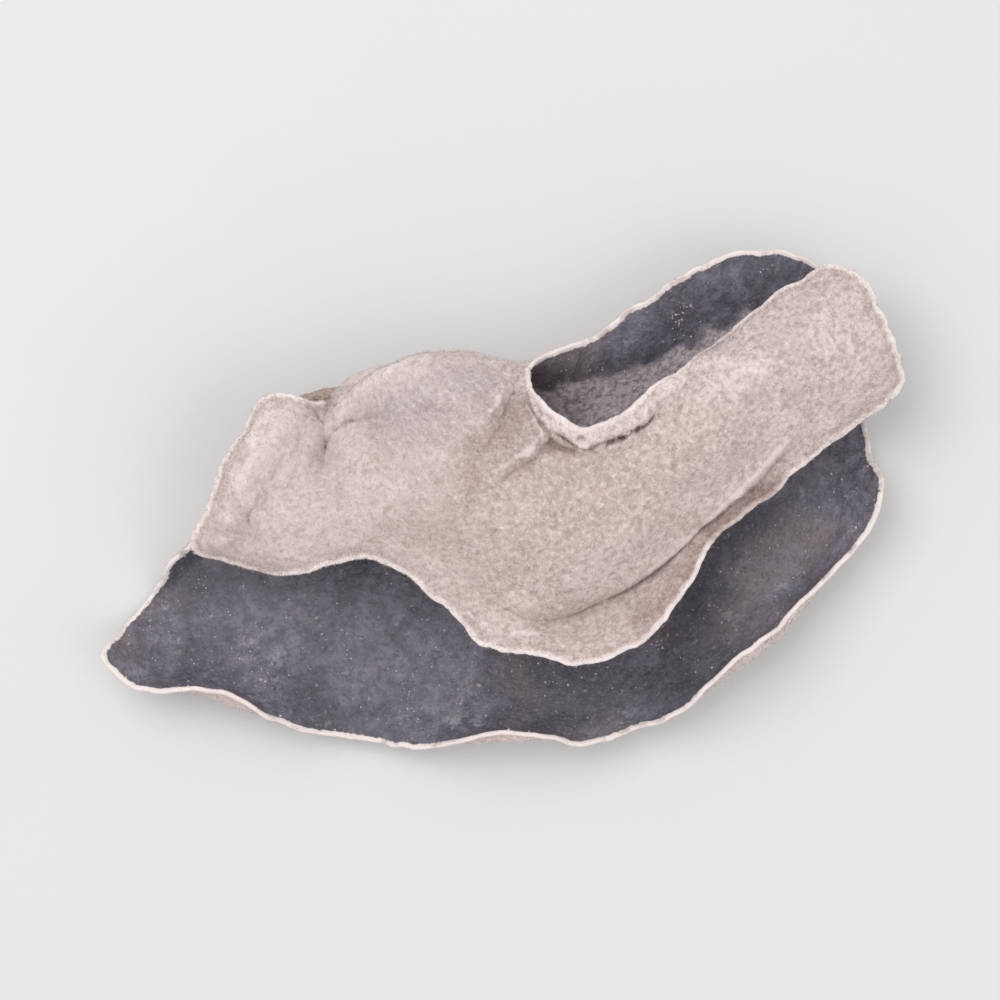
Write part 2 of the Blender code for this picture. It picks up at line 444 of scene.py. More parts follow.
def along_rings(ring, along, size, stretch, seed):
    """Noise from about -1 to 1, with lumps of a size across the rings and stretch times as long."""
    flow = np.stack([along / (size * stretch), ring / size, np.full_like(ring, seed)], -1)
    return np.array([noise.noise(Vector(p)) for p in flow.reshape(-1, 3)]).reshape(ring.shape)


def ring_relief(ring, along):
    """Soft streaks along the margin, and narrow grooves a ring gap or so apart."""
    streaks = along_rings(ring, along, STREAK_SIZE, STREAK_STRETCH, 2.5)
    groove = along_rings(ring, along, RING_GAP, RING_STRETCH, 0.5)
    return STREAK_HEIGHT * streaks - RING_DEPTH * bell(groove, RING_SHARPNESS)


# ---- Fine relief of the felted side that shows

# Broad folds of the upper lobe: width, height (below 0 for a valley) and course, from above
FOLDS = [
    (1.5, 0.36, [(-26.2, -5.2), (-23.2, 0.6), (-21.0, 5.2)]),
    (1.0, -0.34, [(-24.0, -6.0), (-21.4, -1.2), (-19.4, 3.2)]),
    (0.8, 0.25, [(-16.4, 5.0), (-17.4, 3.0), (-17.8, 1.4)]),
    (1.0, 0.4, [(-14.0, 6.2), (-12.0, 7.9), (-9.5, 9.4), (-7.0, 10.3)]),
    (1.5, -0.35, [(-12.2, 5.0), (-8.5, 6.3), (-5.0, 6.2)]),
    (0.7, 0.16, [(0.3, 7.7), (-1.2, 5.6), (-2.8, 3.6), (-4.6, 2.0)]),
    (1.1, -0.4, [(1.3, 6.9), (0.4, 4.8), (-1.4, 2.6)]),
    (0.7, 0.14, [(3.2, 3.2), (1.4, 1.8), (-0.6, 0.6), (-3.0, -0.6)]),
    (0.8, -0.3, [(4.4, 2.4), (2.4, 0.9), (0.2, -0.4)]),
    (0.8, 0.35, [(15.6, 8.6), (17.0, 10.0), (20.0, 10.7), (23.5, 9.9)]),
    (1.1, -0.3, [(18.8, 12.6), (22.0, 12.8), (25.0, 12.2)]),
]
WANDER = 0.35
WANDER_SIZE = 1.6
FOLD_FADE = 1.6  # distance from the lobes' fold at which reliefs are at their full height
# The felt's colour follows this share of the folds' height: painted shade in their valleys, painted highlight
# on their ridges
FOLD_PAINTED_SHADE = 0.35  # share of the folds' height that the felt's colour follows
# Narrow ridges and grooves of its felt, in the same way
STROKES = [
    (0.36, -0.2, [(-15.8, 3.1), (-14.8, 4.3), (-13.4, 5.4)]),
    (0.5, -0.09, [(-13.4, 5.4), (-11.6, 6.0), (-9.8, 6.3)]),
    (0.3, -0.4, [(-15.0, 6.7), (-15.1, 6.9)]),
    (0.34, -0.25, [(-17.1, 5.8), (-16.8, 5.4)]),
    (0.24, 0.17, [(0.6, 8.1), (-0.2, 7.1), (-1.0, 6.1)]),
    (0.3, -0.12, [(1.0, 7.4), (0.4, 6.4), (-0.3, 5.4)]),
    (0.24, 0.12, [(1.7, 10.2), (2.3, 8.0), (2.9, 6.0), (3.6, 4.3)]),
    (0.28, -0.2, [(2.7, 7.4), (3.3, 5.8), (4.3, 4.3)]),
    (0.26, 0.15, [(3.7, 4.2), (3.2, 3.1), (2.0, 2.3), (0.8, 1.5), (-0.4, 0.8)]),
    (0.26, -0.18, [(4.2, 3.4), (3.5, 2.4), (1.7, 1.2), (0.2, 0.1)]),
    (0.24, 0.1, [(0.0, 5.2), (-1.4, 3.6), (-2.8, 2.4)]),
    (0.3, -0.07, [(-23.6, -4.6), (-21.5, -1.0), (-20.0, 2.2)]),
    (0.28, 0.09, [(-22.6, -3.4), (-21.0, -0.2)]),
    (0.26, -0.1, [(-1.2, 4.6), (-2.6, 3.0), (-4.4, 1.8)]),
    (0.24, -0.08, [(-2.2, 2.2), (-4.8, 0.4), (-8.0, -0.6)]),
    (0.24, -0.08, [(-0.4, -0.2), (-3.0, -2.0), (-6.4, -3.0)]),
    (0.24, 0.07, [(-1.4, 1.4), (-4.0, -0.4), (-7.4, -1.6)]),
    (0.45, -0.42, [(4.7, 3.6), (5.6, 3.0), (6.6, 2.7)]),
    (0.26, -0.4, [(7.4, 3.8), (7.5, 3.7)]),
    (0.3, 0.3, [(7.5, 3.1), (7.8, 3.05)]),
    (0.2, -0.36, [(8.3, 3.2), (9.6, 3.55), (10.9, 4.0)]),
    (0.2, -0.4, [(11.7, 4.5), (12.9, 5.0), (14.0, 5.5)]),
    (0.24, -0.36, [(14.5, 5.7), (14.9, 5.9)]),
    (0.24, -0.34, [(16.4, 6.4), (16.6, 6.6)]),
    (0.2, -0.3, [(15.8, 5.4), (15.9, 5.5)]),
    (0.3, 0.14, [(-3.0, -12.2), (-1.9, -13.0), (0.6, -14.0), (3.7, -14.5)]),
    (0.7, -0.16, [(19.0, -4.2), (21.0, -3.0), (23.6, -1.5), (26.3, 0.1)]),
    (0.35, -0.08, [(-26.6, -4.6), (-24.2, -4.2), (-22.6, -2.8)]),
    (0.3, -0.08, [(15.4, 1.2), (17.4, 2.0), (19.2, 3.8)]),
    (0.5, -0.06, [(7.6, -3.2), (12.0, -1.6), (17.4, 2.8), (23.8, 8.0)]),
    (0.5, -0.06, [(-9.0, 3.0), (-4.2, -1.8), (1.4, -6.2), (6.8, -8.4)]),
]
# Patches of the upper lobe's felt: strength (above 0 darker, partly real stain and partly painted shade, as
# in the pucker by the lip; below 0 paler, painted light that lifts self-shaded places such as the belly along
# the crease), middle and reach, from above
STAIN_AND_PAINTED_LIGHT_PATCHES = [
    (1.45, (0.5, 4.6), (1.6, 2.2)),
    (0.5, (2.4, 6.2), (0.7, 2.4)),
    (0.8, (-2.4, 1.2), (1.5, 3.0)),
    (0.9, (5.2, 2.8), (2.0, 0.8)),
    (0.4, (2.2, 0.6), (3.0, 1.2)),
    (0.4, (-9.2, -4.4), (4.4, 2.6)),
    (0.3, (-4.0, -8.0), (2.2, 4.0)),
    (0.25, (6.0, -13.0), (7.0, 1.6)),
    (-0.9, (9.4, -8.8), (4.6, 2.2)),
    (-0.8, (14.6, -6.4), (3.6, 1.8)),
    (-0.6, (20.0, -2.2), (3.6, 1.6)),
    (-0.3, (-23.5, 0.0), (1.6, 4.0)),
    (-0.5, (22.0, 9.4), (3.4, 1.6)),
]
# Painted shade along courses, on the flap beyond the crease's right part: strength, width and course
PAINTED_SHADE_COURSES = [
    (0.75, 1.6, [(13.2, -12.2), (15.0, -10.4), (17.0, -8.0), (19.0, -5.6), (21.0, -3.8), (24.0, -1.9)]),
    (0.6, 0.9, [(17.4, -5.8), (20.2, -3.9), (23.4, -1.7), (26.5, 0.6)]),
]
CREASE_SPAN = (5.4, 10.5)  # columns along which the crease is cut in
CREASE_GROWS = (6.5, 9.0)  # columns between which it gets stronger
ROLL = (0.35, 0.85)  # how far the body rolls over the crease, at the crease's left and right ends
ROLL_PLACE = 1.9  # how far over the crease it does so most
ROLL_BLEND = 1.2
EDGE_PLACE = 1.8  # how far over the crease the rolled edge is
EDGE_WIDTH = 0.45
EDGE_HEIGHT = (0.04, 0.3)
CREASE_WIDTH = 0.32
CREASE_DEPTH = (0.1, 0.36)
LIP_SPAN = (6.3, 10.0)  # columns along which the back edge turns up as a lip
LIP_WIDTH = 1.7
LIP_HEIGHT = 0.3
LIP_GRANULE = 0.55
GROOVE_SPAN = (7.2, 9.2)
GROOVE_DEPTH = 0.55
GROOVE_WIDTH = 0.24
GROOVE_PLACE = 1.9  # distance of the groove below the lip from its edge
GROOVE_WANDER = 0.3
RINGED_TO = (2.0, 14.0)  # the rings fade out from left to right between these places
# Brown shore of the bay, on the black side: widths and courses, from above
SHORE = [
    (1.3, [(3.6, 7.4), (6.0, 6.6)]),
    (2.9, [(7.0, 6.6), (12.5, 7.6)]),
    (1.9, [(12.0, 8.2), (17.0, 10.6)]),
    (1.0, [(17.0, 11.0), (23.0, 14.6)]),
]
WARM_MIDDLE = (8.0, -3.0)
WARM_REACH = (20.0, 12.0)
# Painted grey shade, as ovals of middle and reach, from above: under the middle lobe's back edge and on the
# bar's back flank
PAINTED_GREY_SHADE_OVALS = [((-7.5, 6.0), (5.5, 3.4)), ((-3.0, 8.4), (5.0, 2.2)), ((18.0, 12.4), (3.2, 1.3))]
GRIT_FROM = (-8.0, 1.0)  # the felt is smooth to the left of these places and gritty to the right


def to_polyline(points, course):
    """Distance from each point to a polyline, from above."""
    best = np.full(points.shape[:-1], 1e9)
    course = np.array(course) - np.array(ORIGIN[:2])
    for start, end in zip(course, course[1:]):
        line = end - start
        share = np.clip(((points[..., :2] - start) @ line) / (line @ line), 0, 1)
        gap = np.linalg.norm(points[..., :2] - start - share[..., None] * line, axis=-1)
        best = np.minimum(best, gap)
    return best


def ridges(points, courses):
    """Height of ridges and grooves whose courses wander and whose heights vary a little."""
    wander = np.stack([lumps(points, WANDER_SIZE, seed) for seed in (26, 27)], -1) * WANDER
    places = points[..., :2] + wander
    height = np.zeros(points.shape[:-1])
    for width, rise, course in courses:
        height += rise * bell(to_polyline(places, course), width)
    return height * (1 + 0.5 * lumps(points, 2.0, 28))


def fold_fade(from_fold):
    """0 along the fold, where the two lobes' reliefs have to meet, and 1 away from it and beside it."""
    share = fade(from_fold, 0.0, FOLD_FADE)
    fold = seam(from_fold)
    share[:fold.start] = 1
    share[fold.stop:] = 1
    return share


def lower_relief(points, ring, along, margin, pebble):
    """Height of the felt's own relief on the underside."""
    relief = ring_relief(ring, along) + UNEVENNESS * lumps(points, UNEVEN_SIZE, 8) + PEBBLE_HEIGHT * pebble
    return relief * fade(margin, 0.0, 0.9) * fold_fade(length_along(points, 1))


def upper_relief(points, ring, along, margin, pebble):
    """Height of the felt's own relief on top of the upper lobe."""
    column, over, from_back = upper_places(points)
    rightward = fade(column, *CREASE_GROWS)
    crease = blend(EDGE_HEIGHT, rightward) * bell(over - EDGE_PLACE, EDGE_WIDTH)
    crease -= blend(CREASE_DEPTH, rightward) * bell(over, CREASE_WIDTH)
    crease = crease * span(column, CREASE_SPAN) * (0.8 + 0.5 * lumps(points, 2.0, 20))
    lip = LIP_HEIGHT * bell(from_back - LIP_WIDTH / 2, LIP_WIDTH / 2)
    lip = lip * span(column, LIP_SPAN) * (0.85 + 0.6 * lumps(points, LIP_GRANULE, 18))
    from_groove = from_back - GROOVE_PLACE + GROOVE_WANDER * lumps(points, 2.0, 19)
    groove = GROOVE_DEPTH * bell(from_groove, GROOVE_WIDTH)
    groove = groove * span(column, GROOVE_SPAN) * fade(lumps(points, 0.9, 15), -0.3, 0.3)
    ringed = 0.25 + 0.75 * (1 - fade(points[..., 0], *RINGED_TO)) * fade(lumps(points, 5.0, 7), -0.45, 0.35)
    relief = ring_relief(ring, along) * ringed
    grit = fade(points[..., 0], *GRIT_FROM)
    relief += UNEVENNESS * lumps(points, UNEVEN_SIZE, 8) + PEBBLE_HEIGHT * pebble * (0.4 + 0.6 * grit)
    # the crease, lip and groove heights also paint the felt: painted highlight on the lip and the rolled
    # edge, painted shade in the crease and the groove under the lip
    relief += ridges(points, STROKES) + crease + lip - groove
    return relief * fade(margin, 0.0, 0.5) * fold_fade(from_back)


def skin_relief(points, margin):
    """Shrinkage wrinkles of the black side."""
    veins = 1 - 2 * np.abs(lumps(points, VEIN_SIZE, 11, 3))
    return (VEIN_HEIGHT * veins + DENT_DEPTH * lumps(points, 2.0, 12)) * fade(margin, 0.0, 1.2)


def half_thickness(margin):
    return blend((HALF_MARGIN, HALF_SHEET), fade(margin, 0.0, MARGIN_WIDTH))


def hem(margin):
    """The felted side's thin raised line along the margin, and the groove inside it."""
    return HEM_HEIGHT * bell(margin, HEM_WIDTH) - HEM_DEPTH * bell(margin - HEM_GROOVE, HEM_WIDTH)


def shore(points):
    """1 on the brown, felted shore of the bay and 0 off it."""
    ragged = 0.35 * lumps(points, 1.2, 16, 3)
    inside = [1 - fade(to_polyline(points, course) + ragged, 0.7 * width, width) for width, course in SHORE]
    return np.max(inside, 0)


def patch(points, middle, reach):
    """1 in the middle of a soft-edged oval of the sheet, seen from above, and 0 far from it."""
    gap = (points[..., :2] + ORIGIN[:2] - np.array(middle)) / reach
    return np.exp(-(gap ** 2).sum(-1))


def warmth(points):
    return np.clip(patch(points, WARM_MIDDLE, WARM_REACH) + 0.25 * lumps(points, 5.0, 13), 0, 1)


def painted_grey_shade(points):
    grey_shade = np.max([patch(points, *oval) for oval in PAINTED_GREY_SHADE_OVALS], 0)
    return np.clip(grey_shade * (1 + 0.4 * lumps(points, 2.5, 17)), 0, 1)


def stain_and_painted_light(points):
    """Darker above 0, by real stains and by painted shade, and paler below, by painted light."""
    total = sum(strength * patch(points, middle, reach) for strength, middle, reach in STAIN_AND_PAINTED_LIGHT_PATCHES)
    for strength, width, course in PAINTED_SHADE_COURSES:
        total += strength * bell(to_polyline(points, course), width)
    return total * (1 + 0.6 * lumps(points, 1.6, 25, 3))


MARKS = {"warm": warmth, "grey_shade": painted_grey_shade, "stain_and_painted_light": stain_and_painted_light}


# ---- The sheet's mesh

RIM_STEPS = 4
CRUMBLE = 0.5  # share by which the rim's roundness swells and shrinks
CRUMB_SIZE = 0.55


def over_floor(points):
    return np.maximum(points, (-np.inf, -np.inf, 0))


class Side:
    """One side of one lobe: its points, and the maps that its material reads."""

    def __init__(self, middle, normal, offset, *maps):
        self.points = over_floor(middle + normal * offset[..., None])
        self.normal = normal * np.sign(offset)[..., None]
        self.maps = dict(zip(("margin", "ring", "along", "relief", "pebble"), maps))


def make_mesh(name, points, faces, smooth=True):
    """A mesh from points and arrays of faces, each array with its own number of corners."""
    mesh = bpy.data.meshes.new(name)
    corners = np.concatenate([f.ravel() for f in faces])
    sizes = np.concatenate([np.full(len(f), f.shape[1]) for f in faces])
    mesh.vertices.add(len(points))
    mesh.vertices.foreach_set("co", (points * MM).ravel())
    mesh.loops.add(len(corners))
    mesh.loops.foreach_set("vertex_index", corners)
    mesh.polygons.add(len(sizes))
    mesh.polygons.foreach_set("loop_start", np.concatenate([[0], np.cumsum(sizes)[:-1]]))
    mesh.update(calc_edges=True)
    mesh.polygons.foreach_set("use_smooth", np.full(len(sizes), smooth))
    return mesh


def store(mesh, name, values):
    mesh.attributes.new(name, "FLOAT", "POINT").data.foreach_set("value", values.ravel())


def piece(name, mesh, *materials):
    """An object that stands for the CAD node and moves with its body."""
    obj = add(name, mesh)
    for material in materials:
        mesh.materials.append(material)
    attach(obj, BODY)
    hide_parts(NODE)
    return obj


def cells(grid):
    """The four corners of each cell of a grid, in order."""
    return grid[:-1, :-1], grid[1:, :-1], grid[1:, 1:], grid[:-1, 1:]


def grid_faces(index, flip):
    """Faces of a grid of vertex numbers."""
    a, b, c, d = cells(index)
    order = (a, d, c, b) if flip else (a, b, c, d)
    return np.stack(order, -1).reshape(-1, 4)


def margin_walk(upper, lower):
    """The sheet's one margin, in order, as (lobe, column, row) on the outer grids."""
    last, back = upper.shape[0] - 1, upper.shape[1] - 1
    end, front = lower.shape[0] - 1, lower.shape[1] - 1
    fine_fold, fold = seam(upper), seam(lower)
    turns = [
        (0, 0, 0), (0, last, 0), (0, last, back), (0, fine_fold.stop - 1, back),
        (1, fold.stop, 0), (1, end, 0), (1, end, front), (1, 0, front), (1, 0, 0), (1, fold.start - 1, 0),
        (0, fine_fold.start, back), (0, 0, back), (0, 0, 0),
    ]
    walk = []
    for (lobe, u, v), (next_lobe, next_u, next_v) in zip(turns, turns[1:]):
        count = abs(next_u - u) + abs(next_v - v) if next_lobe == lobe else 1
        walk += [(lobe, u + (next_u - u) * k // count, v + (next_v - v) * k // count) for k in range(count)]
    return walk


def number_sides(sides):
    """Vertex numbers of the four grids, which share those along the fold, and the finest of these."""
    index, count = [], 0
    for side in sides:
        grid = side.maps["margin"]
        index.append(np.arange(grid.size).reshape(grid.shape) + count)
        count += grid.size
    fine_fold = index[0][seam(index[0]), -1]
    index[1][seam(index[1]), 0] = fine_fold[::FINE]
    index[3][seam(index[3]), 0] = index[2][seam(index[2]), -1]
    return index, fine_fold


def rim_arcs(points, start, end):
    """Rows of points round the sheet's edge, from felt to black, and the course of the edge."""
    known = np.flatnonzero(end >= 0)
    every = np.arange(len(end))
    black = [np.interp(every, known, points[end[known], axis], period=len(end)) for axis in range(3)]
    black = np.stack(black, 1)
    felt_edge = points[start]
    middle = (felt_edge + black) / 2
    arm = (felt_edge - black) / 2
    along = np.roll(middle, -3, 0) - np.roll(middle, 3, 0)
    outward = unit(np.cross(along, arm)) * np.linalg.norm(arm, axis=1, keepdims=True)
    for _ in range(4):
        outward = (np.roll(outward, 1, 0) + outward + np.roll(outward, -1, 0)) / 3
    crumbs = 1 + CRUMBLE * lumps(middle, CRUMB_SIZE, 14)
    arcs = []
    for k in range(1, RIM_STEPS + 1):
        angle = math.pi * (0.5 - k / (RIM_STEPS + 1))
        arc = middle + outward * crumbs[:, None] * math.cos(angle) + arm * math.sin(angle)
        arcs.append(over_floor(arc))
    return arcs, {"middle": middle, "up": unit(arm), "outward": unit(outward)}


def sheet_mesh(outer, inner):
    """The closed sheet: felted side, rounded rim and black side."""
    sides = [*outer, *inner]
    index, fine_fold = number_sides(sides)
    points = np.concatenate([s.points.reshape(-1, 3) for s in sides])
    maps = {key: np.concatenate([s.maps[key].ravel() for s in sides]) for key in sides[0].maps}

    walk = margin_walk(outer[0].points, outer[1].points)
    start = np.array([index[lobe][u, v] for lobe, u, v in walk])
    end = np.full(len(walk), -1)
    for i, (lobe, u, v) in enumerate(walk):
        step = COARSE if lobe else FINE * COARSE
        if u % step == 0 and v % step == 0:
            end[i] = index[2 + lobe][u // step, v // step]
    arcs, rim = rim_arcs(points, start, end)
    loops = [start]
    for arc in arcs:
        loops.append(np.arange(len(points), len(points) + len(walk)))
        points = np.concatenate([points, arc])
        for key, values in maps.items():
            maps[key] = np.concatenate([values, np.zeros(len(walk)) if key == "margin" else values[start]])
    strips = [np.stack([np.roll(a, -1), a, b, np.roll(b, -1)], 1) for a, b in zip(loops, loops[1:])]
    known = np.flatnonzero(end >= 0)
    bridges = {}
    for i, j in zip(known, np.append(known[1:], len(walk) + known[0])):
        run = [loops[-1][k % len(walk)] for k in range(j, i - 1, -1)]
        bridges.setdefault(len(run), []).append([*run, end[i], end[j % len(walk)]])

    below = grid_faces(index[1], False)
    fold = seam(index[1])
    at_fold = np.arange(fold.start, fold.stop - 1) * (index[1].shape[1] - 1)
    joined = np.insert(below[at_fold], 1, fine_fold[1::FINE], axis=1)
    felt_faces = [grid_faces(index[0], False), np.delete(below, at_fold, 0), joined, *strips[:3]]
    skin_faces = [*strips[3:], grid_faces(index[2], True), grid_faces(index[3], True)]
    skin_faces += [np.array(faces) for faces in bridges.values()]
    used = np.zeros(len(points), bool)
    for faces in (*felt_faces, *skin_faces):
        used[faces.ravel()] = True
    number = np.cumsum(used) - 1
    mesh = make_mesh("ear_sheet", points[used], [number[f] for f in (*felt_faces, *skin_faces)])
    for key, values in maps.items():
        store(mesh, key, values[used])
    for key, mark in (*MARKS.items(), ("shore", shore)):
        store(mesh, key, mark(points[used]))
    kinds = np.ones(len(mesh.polygons), int)
    kinds[:sum(len(f) for f in felt_faces)] = 0
    return mesh, kinds, rim


# ---- Felt hairs

HAIR_WIDTH = 0.036
HAIR_STAND = 0.45
HAIR_LEAN = 0.3
HAIR_DROOP = 0.4
HAIR_ROOT = 0.03


def spots(side, weight, count, dice):
    """Random places on a side of a lobe, spread by area and weight, with normal and inward direction."""
    a, b, c, d = cells(side.points)
    area = np.linalg.norm(np.cross(c - a, d - b), axis=-1) / 2
    chance = (area * weight[:-1, :-1]).ravel()
    cell = dice.choice(len(chance), count, p=chance / chance.sum())
    u, v = np.divmod(cell, area.shape[1])
    s, t = dice.random((2, count, 1))
    place = (1 - s) * (1 - t) * a[u, v] + s * (1 - t) * b[u, v] + s * t * c[u, v] + (1 - s) * t * d[u, v]
    return place, side.normal[u, v], unit(d[u, v] - a[u, v])


def hairs(name, place, normal, lean, length, dice, material):
    """Short tapering hairs that stand from the felt and bend the way they lean."""
    count = len(place)
    rough = dice.normal(size=(count, 3)) * 0.5
    size = (length * (0.55 + 0.9 * dice.random(count)))[:, None]
    first = unit(normal * HAIR_STAND + lean * HAIR_LEAN + rough)
    second = unit(first + lean * HAIR_LEAN - normal * HAIR_DROOP + dice.normal(size=(count, 3)) * 0.3)
    side = unit(np.cross(first, dice.normal(size=(count, 3)))) * HAIR_WIDTH / 2
    root = place - normal * HAIR_ROOT
    knee = root + first * size * 0.5
    tip = knee + second * size * 0.5
    points = np.stack([root - side, root + side, knee + side * 0.8, knee - side * 0.8, tip], 1)
    points = over_floor(points.reshape(-1, 3))
    base = np.arange(count)[:, None] * 5
    mesh = make_mesh(name, points, [base + [0, 1, 2, 3], base + [3, 2, 4]])
    store(mesh, "tone", np.repeat(dice.random(count), 5))
    for key, mark in MARKS.items():
        store(mesh, key, np.repeat(mark(place), 5))
    return piece(name, mesh, material)


# ---- Materials


class Surface:
    """A material's nodes, with a short call to add each one."""

    def __init__(self, name, specular, sheen=0.0):
        self.material = bpy.data.materials.new(name)
        self.material.use_nodes = True
        self.tree = self.material.node_tree
        self.shader = self.tree.nodes["Principled BSDF"]
        self.plug(self.shader, {"Specular IOR Level": specular, "Sheen Weight": sheen})

    def plug(self, node, inputs):
        for key, value in dict(inputs).items():
            if isinstance(value, bpy.types.NodeSocket):
                self.tree.links.new(value, node.inputs[key])
            elif value is not None:
                node.inputs[key].default_value = value

    def node(self, kind, inputs=(), output=0, **settings):
        made = self.tree.nodes.new("ShaderNode" + kind)
        for key, value in settings.items():
            setattr(made, key, value)
        self.plug(made, inputs)
        return made.outputs[output]

    def read(self, attribute):
        return self.node("Attribute", output="Fac", attribute_name=attribute)

    def place(self):
        return self.node("TexCoord", output="Object")

    def noise(self, size, detail=2.0, rough=0.5, vector=None):
        """Noise from 0 to 1, with lumps of about size millimetres."""
        scale = 1 / (size * MM) if vector is None else 1 / size
        vector = self.place() if vector is None else vector
        return self.node("TexNoise", {"Vector": vector, "Scale": scale, "Detail": detail, "Roughness": rough})

    def ramp(self, value, low, high, start=0.0, end=1.0):
        inputs = {"Value": value, "From Min": low, "From Max": high, "To Min": start, "To Max": end}
        return self.node("MapRange", inputs, interpolation_type="SMOOTHSTEP")

    def math(self, operation, a, b=0.0, c=0.0):
        return self.node("Math", {0: a, 1: b, 2: c}, operation=operation)

    def times(self, a, b):
        return self.math("MULTIPLY", a, b)

    def flow(self, share):
        """Coordinates across the rings and, a share as fast, along them."""
        return self.node("CombineXYZ", {0: self.times(self.read("along"), share), 1: self.read("ring")})

    def mix(self, factor, a, b):
        return self.node("Mix", {"Factor": factor, 6: a, 7: b}, 2, data_type="RGBA")

    def paint(self, colour, layers):
        """The colour under layers of (value, low, high, amount, tone), each strongest near its high."""
        for value, low, high, amount, tone in layers:
            colour = self.mix(self.times(self.ramp(value, low, high), amount), colour, tone)
        return colour

    def bump(self, height, distance, normal=None):
        return self.node("Bump", {"Height": height, "Distance": distance * MM, "Normal": normal})

    def finish(self, colour, roughness, normal=None):
        self.plug(self.shader, {"Base Color": colour, "Roughness": roughness, "Normal": normal})
        return self.material


PALE = (0.61, 0.508, 0.484, 1)
LIGHT = (0.745, 0.637, 0.612, 1)
TAN = (0.54, 0.41, 0.36, 1)
BROWN = (0.25, 0.165, 0.14, 1)
DARK_FELT = (0.36, 0.275, 0.25, 1)
# Pale of the margin's hem, also painted as highlight on ridges
HEM_AND_HIGHLIGHT = (0.88, 0.78, 0.76, 1)
BLACK = (0.11, 0.099, 0.124, 1)
BLOOM = (0.24, 0.22, 0.268, 1)
DEEP_BLACK = (0.062, 0.056, 0.07, 1)
BROWN_BLACK = (0.22, 0.18, 0.18, 1)
SHORE_FELT = (0.78, 0.665, 0.69, 1)
DUST = (0.5, 0.47, 0.48, 1)
# Grey of the dust and of the felt's painted grey shade
DUST_AND_SHADE_GREY = (0.47, 0.417, 0.443, 1)
# Brown of the felt's stains and of its painted shade
STAIN_AND_SHADE_BROWN = (0.33, 0.225, 0.19, 1)
# Painted shade of the crease's dark line and the deepest grooves
CREASE_SHADE = (0.09, 0.06, 0.055, 1)


def felt():
    """Pale felt: warm and speckled in the middle, with stains, painted shade in valleys and patches, painted
    highlight on ridges and pale patches, and light at the margin.
    """
    s = Surface("pale_felt", 0.2, 0.3)
    warm = s.read("warm")
    relief = s.read("relief")
    streaks = s.noise(0.5, 3.0, 0.6, s.flow(0.25))
    clouds = s.noise(6.0, 3.0, 0.55)
    mottle = s.noise(1.4, 4.0, 0.65)
    flecks = s.noise(0.5, 3.0, 0.65)
    specks = s.noise(0.36, 3.0, 0.7)
    grain = s.noise(0.17, 2.0, 0.6)

    x = s.node("SeparateXYZ", {0: s.place()})
    grit = s.ramp(x, GRIT_FROM[0] * MM, GRIT_FROM[1] * MM)
    fleck = s.math("MULTIPLY_ADD", grit, 0.24, 0.26)
    lined = s.math("MULTIPLY_ADD", grit, -0.06, 0.3)
    stain_and_painted_light = s.read("stain_and_painted_light")
    edge = s.math("ADD", s.read("margin"), s.times(s.noise(0.8, 3.0, 0.6), 0.5))
    worn = s.ramp(s.noise(2.0, 3.0, 0.6), 0.38, 0.56, 0.7, 1.0)
    colour = s.mix(s.ramp(clouds, 0.36, 0.66), PALE, LIGHT)
    # painted grey shade under the middle lobe's back edge and on the bar's back flank
    colour = s.mix(s.times(s.read("grey_shade"), 0.85), colour, DUST_AND_SHADE_GREY)
    colour = s.paint(colour, (
        (warm, 0.1, 0.9, 0.6, TAN),
        # painted light: pale patches that lift self-shaded places such as the belly along the crease
        (stain_and_painted_light, 0.0, -0.8, 0.8, LIGHT),
        (mottle, 0.46, 0.7, 0.3, TAN),
        (streaks, 0.5, 0.68, lined, DARK_FELT),
        (streaks, 0.48, 0.36, lined, LIGHT),
        (s.read("pebble"), 0.0, -0.5, fleck, DARK_FELT),
        (flecks, 0.52, 0.64, fleck, DARK_FELT),
        (flecks, 0.46, 0.36, fleck, HEM_AND_HIGHLIGHT),
        # painted shade in the relief's valleys, darkest in the crease and the groove under the lip
        (relief, -0.06, -0.3, 0.8, BROWN),
        (relief, -0.24, -0.45, 0.85, CREASE_SHADE),
        (specks, 0.58, 0.72, s.ramp(warm, 0.05, 0.8, 0.15, 0.6), BROWN),
        # dark patches, partly real stain and partly painted shade, as in the pucker and on the flap
        (stain_and_painted_light, 0.05, 0.9, s.ramp(specks, 0.35, 0.65, 0.3, 0.9), STAIN_AND_SHADE_BROWN),
        (grain, 0.35, 0.7, 0.25, LIGHT),
        # painted highlight on the relief's ridges, the lip and the rolled edge over the crease
        (relief, 0.06, 0.2, 0.6, HEM_AND_HIGHLIGHT),
        (relief, 0.18, 0.32, 0.6, HEM_AND_HIGHLIGHT),
        # the pale hem fades where the stains and painted shade are
        (edge, 0.68, 0.42, s.times(worn, s.ramp(stain_and_painted_light, 0.3, 0.8, 1.0, 0.35)), HEM_AND_HIGHLIGHT),
    ))

    roughness = s.ramp(mottle, 0.3, 0.7, 0.86, 0.97)
    normal = s.bump(streaks, 0.06)
    normal = s.bump(flecks, -0.08, normal)
    normal = s.bump(specks, -0.07, normal)
    normal = s.bump(grain, 0.06, normal)
    return s.finish(colour, roughness, normal)


